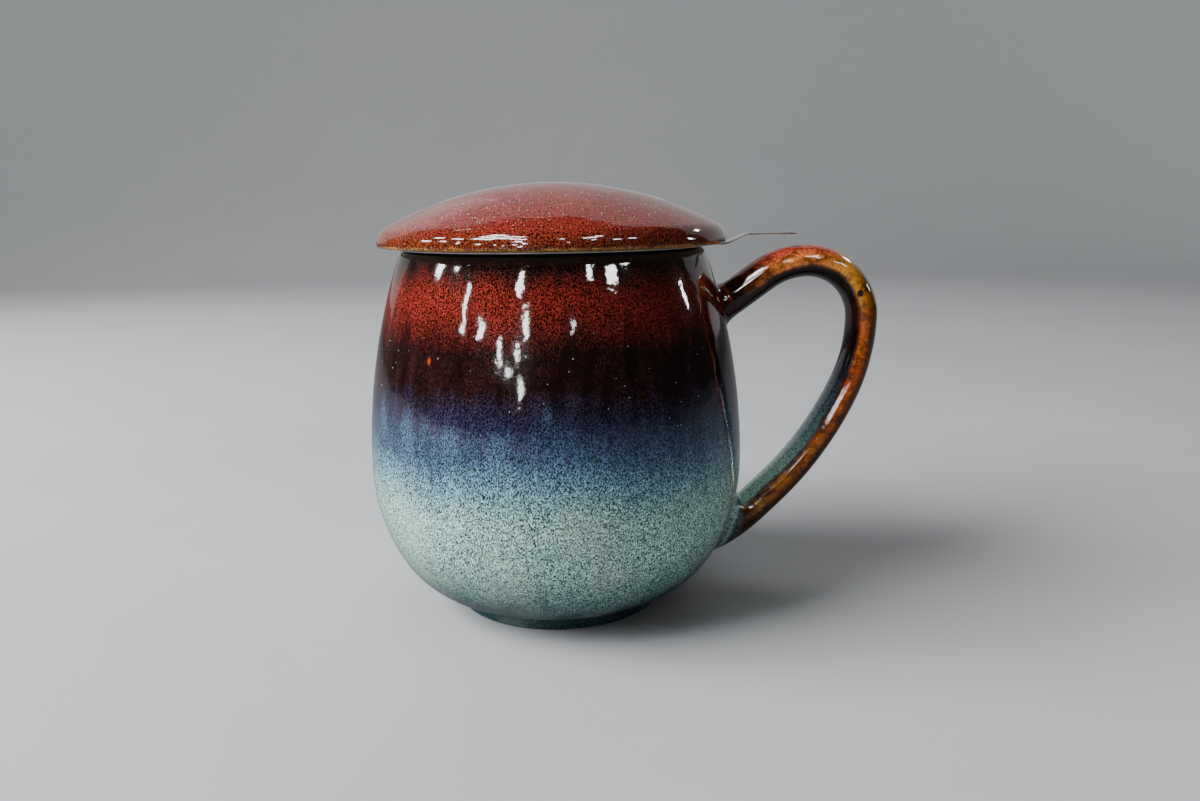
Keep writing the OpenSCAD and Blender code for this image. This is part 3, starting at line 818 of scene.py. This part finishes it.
class TEAMUG_OT_handle(Operator):
    """Loft the ear handle from its upper root, over the crest and down to its lower root"""

    bl_idname = "tea_mug.make_handle"
    bl_label = "Mug handle"

    # Angles round a section, how far the roots sink into the body, and how far they turn out along it
    AROUND = np.arange(64) * 2 * math.pi / 64
    SINK = 0.0002
    LUTE = 0.003

    def centre_line(self, h):
        """Sections of the strap: a point (x, z) of the centre line and the direction of its outside."""
        up, low, side = (math.degrees(a) for a in (h.upper_slope, h.lower_slope, h.side_turn))
        r = h.crest_radius
        crest = np.array([HANDLE_HIGH.x - h.side_thickness / 2 - r,
                          HANDLE_HIGH.z - h.crest_thickness / 2 - r])
        line = []

        def bend(centre, radius, a, b, step):
            n = max(1, math.ceil(abs(b - a) / step))
            line.extend([(centre + radius * aim(t), t) for t in np.linspace(a, b, n + 1)][bool(line):])

        bend(crest + [0, r - h.upper_bend], h.upper_bend, 90 + up, 90, 2.5)
        bend(crest, r, 90, 0, 2.5)
        bend(crest + [r - h.side_bend, 0], h.side_bend, 0, -side, 2)
        bend(line[-1][0] - h.lower_bend * aim(-side), h.lower_bend, -side, -low, 1.2)
        back, on = -aim(up), -aim(90 - low)
        (first, a), (last, b) = line[0], line[-1]
        line = ([(first + back * h.upper_arm * k / 5, a) for k in range(5, 0, -1)] + line
                + [(last + on * h.lower_arm * k / 5, b) for k in range(1, 6)])
        return line, back, on

    def oval(self, h, place, a):
        """One section of the strap, whose outside points in direction a."""
        up, low, side = (math.degrees(q) for q in (h.upper_slope, h.lower_slope, h.side_turn))
        set_at = [-low, -side / 2, 90, 90 + up]
        sizes = [h.root_thickness, h.side_thickness, h.crest_thickness, h.root_thickness]
        out = np.interp(a, set_at, sizes) / 2 * np.cos(self.AROUND)
        x, z = aim(a)
        return np.stack([place[0] + out * x, h.width / 2 * np.sin(self.AROUND), place[1] + out * z], -1)

    def root(self, p, oval, ahead, z, height, width, pull, steps=26):
        """Sections from the strap's last oval into its footprint, turning out along the body."""

        def on_body(share):
            """A ring of points just under the body's face, round the root's middle."""
            y = share * width / 2 * np.sin(self.AROUND)
            pz = z + share * height / 2 * np.cos(self.AROUND)
            r = np.array([p.radius(q) for q in pz]) - self.SINK
            return np.stack([np.sqrt(r**2 - y * y), y, pz], -1)

        foot = on_body(1.0)
        out = on_body(1.05) - foot
        out /= np.linalg.norm(out, axis=1)[:, None]
        carry = pull * np.linalg.norm(foot - oval, axis=1)[:, None] * np.array([ahead[0], 0, ahead[1]])
        return [(1 - t) ** 3 * oval + 3 * t * (1 - t) ** 2 * (oval + carry)
                + 3 * t * t * (1 - t) * (foot - self.LUTE * out) + t**3 * foot
                for t in np.arange(1, steps + 1) / steps]

    def execute(self, context):
        h = context.scene.tea_mug_handle
        p = Profile(context.scene.tea_mug_body)
        line, back, on = self.centre_line(h)
        ovals = [self.oval(h, place, a) for place, a in line]
        # Heights of the footprints run with the ovals: upwards at the upper root, downwards at the lower one
        upper = self.root(p, ovals[0], back, h.upper_root, h.upper_root_height, h.root_width, 0.55)
        lower = self.root(p, ovals[-1], on, h.lower_root, -h.lower_root_height, h.root_width, 0.72)
        rings = upper[::-1] + ovals + lower
        middles = np.array([ring.mean(0) for ring in rings])
        run = np.concatenate([[0], np.cumsum(np.linalg.norm(np.diff(middles, axis=0), axis=1))])
        bm = bmesh.new()
        skin(bm, rings, caps=(0, -1))
        obj = to_object("stoneware_handle", bm, smooth_below=60)
        paint(obj, "along", np.repeat(run / run[-1], len(self.AROUND)))
        paint(obj, "outer", np.tile(np.cos(self.AROUND), len(rings)))
        take_over(obj, handle_material(context.scene.tea_mug_glaze), "mug", "handle_glaze", "mug_handle")
        return {"FINISHED"}


class TEAMUG_OT_lid(Operator):
    """Turn the domed lid with its rounded edge, flat seat and locating ring"""

    bl_idname = "tea_mug.make_lid"
    bl_label = "Lid"

    # Easing of the hollow's corner, and the fillet between the locating ring and the seat
    EASE = 0.0015
    FILLET = 0.0006

    def execute(self, context):
        s = context.scene.tea_mug_lid
        turn_x, turn_z = s.radius - s.shoulder, s.seat + s.edge_lift + s.edge
        high = s.seat + s.rise - turn_z
        dome = (turn_x**2 + high**2 - s.shoulder**2) / (2 * (high - s.shoulder))
        dome_c = s.seat + s.rise - dome
        low_z = turn_z - s.edge
        ring_in = s.ring_radius - s.ring_width
        ring_c = s.seat - s.ring_depth + s.ring_width / 2
        hollow = dome - s.wall
        inner_top = dome_c + math.sqrt(hollow**2 - (ring_in - self.EASE) ** 2)
        dome_end = 90 - math.degrees(math.asin(turn_x / (dome - s.shoulder)))
        hollow_end = 90 - math.degrees(math.asin((ring_in - self.EASE) / hollow))
        outline = path(
            (0, dome_c, dome, 90, dome_end, 60),
            (turn_x, turn_z, s.shoulder, dome_end, 0, 24),
            (s.radius - s.edge, turn_z, s.edge, 0, -90, 8),
            (s.radius - s.edge, low_z),
            (s.ring_radius + s.seat_width, s.seat),
            (s.ring_radius + self.FILLET, s.seat - self.FILLET, self.FILLET, 90, 180, 5),
            (s.ring_radius - s.ring_width / 2, ring_c, s.ring_width / 2, 0, -180, 16),
            (ring_in, inner_top - self.EASE),
            (0, dome_c, hollow, hollow_end, 90, 30))
        obj, r, z = turned("stoneware_lid", outline, 0.002)
        under = (z < s.seat + 0.0002) & (r < s.radius - 1.5 * s.edge)
        paint(obj, "bare", under & (r > ring_in + 0.0002) & ((r > s.ring_radius - 0.0002) | (z < ring_c)))
        under_dome = dome_c + np.sqrt(np.maximum(dome**2 - r**2, 0)) - 0.25 * s.wall
        paint(obj, "inner", (r < ring_in + 0.0003) & (z < under_dome))
        # 0 high on the dome, 1 under the edge
        paint(obj, "edge", np.clip((dome_c + dome - z) / (dome_c + dome - low_z), 0, 1))
        take_over(obj, lid_material(context.scene.tea_mug_glaze), "lid", "lid_glaze", "lid")
        return {"FINISHED"}


class TEAMUG_OT_rim(Operator):
    """Press the infuser's rim: flange, collar and the bent lift tab in one sheet"""

    bl_idname = "tea_mug.make_rim"
    bl_label = "Infuser rim"

    # Half the length over which the tab's bends are rounded
    SOFT = 0.0006

    def execute(self, context):
        s = context.scene.tea_mug_infuser
        t, zf = s.sheet, s.flange_height
        e, foot = t * 0.45, zf - s.collar_depth
        bend_x, bend_z = s.collar_radius + s.press_radius, zf - s.press_radius
        outline = path(
            (s.flange_radius - e, zf + e, e, -90, 0, 4),
            (s.flange_radius - e, zf + t - e, e, 0, 90, 4),
            (bend_x, bend_z, s.press_radius + t, 90, 180, 10),
            (s.collar_radius - t + e, foot + e, e, 180, 270, 4),
            (s.collar_radius - e, foot + e, e, -90, 0, 4),
            (bend_x, bend_z, s.press_radius, 180, 90, 8))
        bm = bmesh.new()
        turn(bm, outline[::-1], 360, True)
        self.add_tab(bm, s)
        take_over(to_object("steel_rim", bm, smooth_below=40),
                  steel_material("Rim steel", context.scene.tea_mug_glaze, RIM_GRAIN), "infuser",
                  "rim_steel", "infuser_rim")
        return {"FINISHED"}

    def bent(self, past):
        """How far the strip is past a bend, 0 before it, with the bend rounded."""
        return past if past > self.SOFT else max(0.0, past + self.SOFT) ** 2 / (4 * self.SOFT)

    def add_tab(self, bm, s):
        """The lift tab: a strip with softened edges that follows the bent line out from the flange."""
        t, w, e = s.sheet, s.tab_width / 2, s.sheet * 0.3
        knee, top, tip = s.tab_knee, s.tab_knee + s.tab_slope, s.tab_end - w
        xs = [s.flange_radius - 0.0002]
        for bend in (knee, top):
            xs += [bend - self.SOFT, *np.linspace(bend - self.SOFT, bend + self.SOFT, 6)[1:]]
        xs += [tip + w * math.sin(a) for a in np.linspace(0, math.pi / 2, 14)[:-1]]
        rows = []
        for x in [*xs, s.tab_end]:
            z = s.flange_height + s.tab_rise / s.tab_slope * (self.bent(x - knee) - self.bent(x - top))
            half = w if x <= tip else math.sqrt(max(0, w**2 - (x - tip) ** 2))
            k = min(e, half * 0.5)
            section = [(-half + k, z), (half - k, z), (half, z + e), (half, z + t - e),
                       (half - k, z + t), (-half + k, z + t), (-half, z + t - e), (-half, z + e)]
            rows.append([(x, y, q) for y, q in section])
        rows[-1] = [(s.tab_end, 0, rows[-1][0][2] + t / 2)]
        skin(bm, rows, caps=(0,))


def cell_mesh(wide, high, thick, hole):
    """One cell of perforated sheet, centred, its face along X and Z: a plate with an eight-sided hole."""
    corners = [(1, 0), (1, 1), (0, 1), (-1, 1), (-1, 0), (-1, -1), (0, -1), (1, -1)]
    points, faces = [], []
    for y in (-thick / 2, thick / 2):
        points += [(x * wide / 2, y, z * high / 2) for x, z in corners]
        points += [(x, y, z) for x, z in (hole / 2 * aim(45 * k) for k in range(8))]
    for k in range(8):
        j = (k + 1) % 8
        faces += [(k, j, j + 8, k + 8), (j + 16, k + 16, k + 24, j + 24), (k + 8, j + 8, j + 24, k + 24)]
    mesh = bpy.data.meshes.new("cell")
    mesh.from_pydata(points, [], faces)
    return mesh


def perforated(name, cell, steel, build, **sizes):
    """A bmesh of sheet: copies of one cell, set out and bent by Geometry Nodes as build says."""
    values = {**sizes, "Steel": steel}
    tree = bpy.data.node_groups.new(name, "GeometryNodeTree")
    tree.interface.new_socket("Cell", in_out="INPUT", socket_type="NodeSocketGeometry")
    new_sockets(tree, "INPUT", values)
    tree.interface.new_socket("Sheet", in_out="OUTPUT", socket_type="NodeSocketGeometry")
    w = Wiring(tree)
    given = {out.name: Value(w, out) for out in w.add("NodeGroupInput").outputs}
    points, place = build(w, *(given[key] for key in sizes))
    sheet = w.get("GeometryNodeInstanceOnPoints", {"Points": points, "Instance": given["Cell"]})
    for kind, more in (("RealizeInstances", {}), ("SetPosition", {"Position": place}),
                       ("MergeByDistance", {"Distance": CELL_WELD}),
                       ("SetMaterial", {"Material": given["Steel"]})):
        sheet = w.get("GeometryNode" + kind, {"Geometry": sheet, **more})
    w.add("NodeGroupOutput", {"Sheet": sheet})
    obj = new_object(name, cell)
    modifier = obj.modifiers.new(name, "NODES")
    modifier.node_group = tree
    for item in tree.interface.items_tree:
        if item.name in values:
            modifier[item.identifier] = values[item.name]
    bpy.context.view_layer.update()
    sheet = bpy.data.meshes.new_from_object(obj.evaluated_get(bpy.context.evaluated_depsgraph_get()))
    obj.modifiers.remove(modifier)
    bpy.data.objects.remove(obj)
    bm = bmesh.new()
    bm.from_mesh(sheet)
    for mesh in (sheet, cell):
        bpy.data.meshes.remove(mesh)
    return bm


def cell_points(w, count, x, z):
    """Points in a plane, one for each cell."""
    return w.get("GeometryNodePoints", {"Count": count, "Position": w.join(x, 0.0, z), "Radius": 0.0001})


class TEAMUG_OT_basket_wall(Operator):
    """Roll the perforated wall of the infuser basket, with its plain bands and welded seam"""

    bl_idname = "tea_mug.make_basket_wall"
    bl_label = "Basket wall"

    # Half the width of the lapped seam and how proud it stands, the plain sheet at foot and top, and
    # the height of a row in widths of a cell
    SEAM_HALF = 0.0018
    SEAM_PROUD = 0.00018
    PLAIN_FOOT = 0.0008
    PLAIN_TOP = 0.0012
    ROW_HEIGHT = 0.88

    def rolled(self, w, radius, foot, holes, rows, pitch):
        """Rows of cells, each row shifted by half a cell, rolled round the axis."""
        index = w.get("GeometryNodeInputIndex")
        row = w.math("FLOOR", (index + 0.5) / holes)
        shifted = index - row * holes + w.math("MODULO", row, 2.0) * 0.5
        x = shifted * (2 * math.pi / holes * radius)
        points = cell_points(w, rows * holes, x, foot + (row + 0.5) * pitch)
        x, y, z = w.split(w.get("GeometryNodeInputPosition"))
        a, far = x / radius, radius - y
        return points, w.join(far * w.math("COSINE", a), far * w.math("SINE", a), z)

    def execute(self, context):
        s = context.scene.tea_mug_infuser
        steel = steel_material("Mesh steel", context.scene.tea_mug_glaze, MESH_GRAIN)
        middle, inside = s.basket_radius - s.sheet / 2, s.basket_radius - s.sheet
        low = s.basket_low + s.base_edge + self.PLAIN_FOOT
        high = s.flange_height - s.collar_depth - self.PLAIN_TOP
        wide = 2 * math.pi * middle / s.holes_round
        rows = round((high - low) / (wide * self.ROW_HEIGHT))
        pitch = (high - low) / rows
        bm = perforated("Perforated wall", cell_mesh(wide, pitch, s.sheet, s.hole), steel, self.rolled,
                        Radius=middle, Foot=low, Holes=s.holes_round, Rows=rows, Pitch=pitch)
        for z0, z1 in ((s.basket_low, low), (high, s.basket_high)):
            turn(bm, [(s.basket_radius, z0), (s.basket_radius, z1), (inside, z1), (inside, z0)],
                 2 * s.holes_round, True)
        # The lapped edge of the rolled sheet: a plain strip up the side away from the tab
        half = self.SEAM_HALF / s.basket_radius
        angles = np.linspace(math.pi - half, math.pi + half, 5)
        strip = [(s.basket_radius + self.SEAM_PROUD, a) for a in angles]
        strip += [(inside - self.SEAM_PROUD, a) for a in angles[::-1]]
        ends = [[(r * math.cos(a), r * math.sin(a), z) for r, a in strip] for z in (low, high)]
        skin(bm, ends, caps=(0, 1))
        take_over(to_object("basket_wall", bm), steel, "infuser", "mesh_steel", "infuser_wall")
        return {"FINISHED"}


class TEAMUG_OT_basket_base(Operator):
    """Press the basket's base: a disc with rings of holes and a turned-up edge"""

    bl_idname = "tea_mug.make_basket_base"
    bl_label = "Basket base"

    # Clearance in the wall, the plain sheet outside the holes, and the widest hole in widths of a cell
    CLEAR = 0.00005
    PLAIN = 0.0006
    WIDEST = 0.55

    def ringed(self, w, rings, pitch, height):
        """Rings of cells, six more in each ring than in the one inside it."""
        index = w.get("GeometryNodeInputIndex")
        ring = w.math("FLOOR", (1.0 + w.math("SQRT", 1.0 + (index + 0.01) * 4.0 / 3.0)) / 2.0)
        step = index - 3.0 * ring * (ring - 1.0)
        points = cell_points(w, 3.0 * rings * (rings + 1.0), step * pitch, ring * pitch)
        points = w.get("GeometryNodeStoreNamedAttribute", {"Geometry": points, "Name": "ring", "Value": ring},
                       data_type="FLOAT", domain="POINT")
        x, y, z = w.split(w.get("GeometryNodeInputPosition"))
        own = w.get("GeometryNodeInputNamedAttribute", {"Name": "ring"}, data_type="FLOAT")
        a = x * (2 * math.pi) / (own * 6.0 * pitch)
        return points, w.join(z * w.math("COSINE", a), z * w.math("SINE", a), height - y)

    def execute(self, context):
        s = context.scene.tea_mug_infuser
        steel = bpy.data.materials["Mesh steel"]
        t, low, high = s.sheet, s.basket_low, s.basket_low + s.base_edge
        radius = s.basket_radius - t - self.CLEAR
        flat = radius - s.press_radius - t
        pitch = (flat - self.PLAIN) / (s.base_rings + 0.5)
        cell = cell_mesh(pitch, pitch, t, min(s.hole, self.WIDEST * pitch))
        bm = perforated("Perforated base", cell, steel, self.ringed, Rings=s.base_rings, Pitch=pitch,
                        Height=low + t / 2)
        first, last = pitch / 2, (s.base_rings + 0.5) * pitch
        bend_z = low + t + s.press_radius
        edge = path((last, low), (flat, bend_z, s.press_radius + t, -90, 0, 8), (radius, high),
                    (radius - t, high), (flat, bend_z, s.press_radius, 0, -90, 8), (last, low + t))
        turn(bm, edge, 6 * s.base_rings, True)
        turn(bm, [(0.0, low), (first, low), (first, low + t), (0.0, low + t)], 12, True)
        take_over(to_object("basket_base", bm), steel, "infuser", "mesh_steel", "infuser_base")
        return {"FINISHED"}


class TEAMUG_OT_studio(Operator):
    """Set up the pale floor, the soft lights and the camera"""

    bl_idname = "tea_mug.make_studio"
    bl_label = "Studio"

    def execute(self, context):
        s = context.scene.tea_mug_studio
        self.floor(s)
        self.lights(s)
        self.camera(context, s)
        return {"FINISHED"}

    def floor(self, s):
        """A floor that sweeps up into a backdrop far behind the mug."""
        # Half its width, where the sweep starts behind the mug, the sweep's radius, and its top
        half, depth, bend, top = s.floor_size, 1.1, 0.5, 2.2
        line = path((-half, 0.0), (depth, bend, bend, -90, 0, 15), (depth + bend, top))
        n = len(line)
        mesh = bpy.data.meshes.new("floor")
        mesh.from_pydata([(x, *p) for x in (-half, half) for p in line], [],
                         [(k, k + n, k + n + 1, k + 1) for k in range(n - 1)])
        mesh.shade_smooth()
        obj = new_object("floor", mesh)
        mat, w, shader, where = material("Pale floor", s.floor_colour)
        soft = w.remap(w.noise(where, 9, 4, 0.55), 0.3, 0.7, 0.96, 1.04)
        tone = w.mix(1.0, s.floor_colour, soft, "MULTIPLY")
        glossy = w.get("ShaderNodeLightPath", output="Is Glossy Ray")
        mirrored = w.remap(glossy, 0.0, 1.0, 1.0, s.floor_mirrored)
        w.wire(shader, {"Base Color": w.mix(1.0, tone, mirrored, "MULTIPLY"), "Roughness": 0.75})
        # Far from the mug the floor fades into the surround
        far = w.remap(w.vector("LENGTH", where, output="Value"), 0.8, 2.0, easing="SMOOTHSTEP")
        glow = w.get("ShaderNodeEmission", {"Color": SURROUND, "Strength": mirrored * s.horizon})
        faded = w.get("ShaderNodeMixShader", {0: far, 1: Value(w, shader.outputs[0]), 2: glow})
        w.wire(mat.node_tree.nodes["Material Output"], {"Surface": faded})
        obj.data.materials.append(mat)

    def lights(self, s):
        """A large soft key from the left, a weak fill, and small bright windows that the glaze mirrors."""
        world = bpy.data.worlds.new("Studio")
        bpy.context.scene.world = world
        world.use_nodes = True
        w = Wiring(world.node_tree)
        seen = w.get("ShaderNodeLightPath", output="Is Camera Ray")
        w.wire(world.node_tree.nodes["Background"],
               {"Color": SURROUND, "Strength": w.remap(seen, 0.0, 1.0, s.sky, s.horizon)})
        for name, (place, strength) in SOFT_PANELS.items():
            self.panel(name, *place, strength).visible_glossy = False
        for name, (place, strength) in MIRRORED_PANELS.items():
            self.panel(name, *place, strength).visible_diffuse = False
        for k, place in enumerate(WINDOWS):
            self.panel(f"window_{k + 1}", *place, s.window_light).visible_diffuse = False

    def panel(self, name, azimuth, elevation, wide, high, strength):
        """One panel of light, turned to the mug; strength is its radiance."""
        a, e = math.radians(azimuth), math.radians(elevation)
        out = Vector((math.sin(a) * math.cos(e), -math.cos(a) * math.cos(e), math.sin(e)))
        data = bpy.data.lights.new(name, "AREA")
        data.shape = "RECTANGLE"
        data.size, data.size_y = (2 * PANEL_DISTANCE * math.tan(math.radians(q / 2)) for q in (wide, high))
        data.energy = strength * math.pi * data.size * data.size_y
        obj = new_object(name, data)
        obj.visible_camera = False
        obj.location = LIT_POINT + PANEL_DISTANCE * out
        obj.rotation_mode = "QUATERNION"
        obj.rotation_quaternion = (-out).to_track_quat("-Z", "Y")
        return obj

    def camera(self, context, s):
        """The camera, looking along its turn and dip, then rolled about its view."""
        data = bpy.data.cameras.new("Camera")
        data.sensor_fit = "HORIZONTAL"
        data.sensor_width = 36
        data.lens = data.sensor_width * s.view_width
        data.clip_start, data.clip_end = 0.01, 50
        obj = new_object("Camera", data)
        ahead = Vector((math.sin(s.camera_turn) * math.cos(s.camera_dip),
                        math.cos(s.camera_turn) * math.cos(s.camera_dip), -math.sin(s.camera_dip)))
        face = ahead.to_track_quat("-Z", "Y").to_matrix()
        obj.rotation_mode = "QUATERNION"
        obj.rotation_quaternion = (Matrix.Rotation(s.camera_roll, 3, ahead) @ face).to_quaternion()
        obj.location = s.camera_place
        context.scene.camera = obj


STEPS = (TEAMUG_OT_body, TEAMUG_OT_handle, TEAMUG_OT_lid, TEAMUG_OT_rim, TEAMUG_OT_basket_wall,
         TEAMUG_OT_basket_base, TEAMUG_OT_studio)


class TEAMUG_PT_panel(Panel):
    """Buttons and sizes of the tea mug"""

    bl_label = "Tea Mug"
    bl_idname = "TEAMUG_PT_panel"
    bl_space_type = "VIEW_3D"
    bl_region_type = "UI"
    bl_category = "Tea Mug"

    def draw(self, context):
        column = self.layout.column()
        for step in STEPS:
            column.operator(step.bl_idname)
        for name in SETTINGS:
            settings = getattr(context.scene, name)
            box = self.layout.box()
            box.label(text=name.replace("tea_mug_", "").capitalize())
            for key in settings.__annotations__:
                box.prop(settings, key)


SETTINGS = {"tea_mug_body": MugSizes, "tea_mug_handle": HandleSizes, "tea_mug_lid": LidSizes,
            "tea_mug_infuser": InfuserSizes, "tea_mug_glaze": GlazeColours, "tea_mug_studio": StudioSettings}


def register():
    """Registers the classes and puts the settings on the scene."""
    for cls in (*SETTINGS.values(), *STEPS, TEAMUG_PT_panel):
        bpy.utils.register_class(cls)
    for name, cls in SETTINGS.items():
        setattr(bpy.types.Scene, name, PointerProperty(type=cls))


def unregister():
    """Takes the settings off the scene and unregisters the classes."""
    for name in SETTINGS:
        delattr(bpy.types.Scene, name)
    for cls in (TEAMUG_PT_panel, *reversed(STEPS), *reversed(list(SETTINGS.values()))):
        bpy.utils.unregister_class(cls)


def main():
    """Builds every piece and the studio."""
    register()
    for step in STEPS:
        group_name, call = step.bl_idname.split(".")
        getattr(getattr(bpy.ops, group_name), call)()


if __name__ == "__main__":
    main()
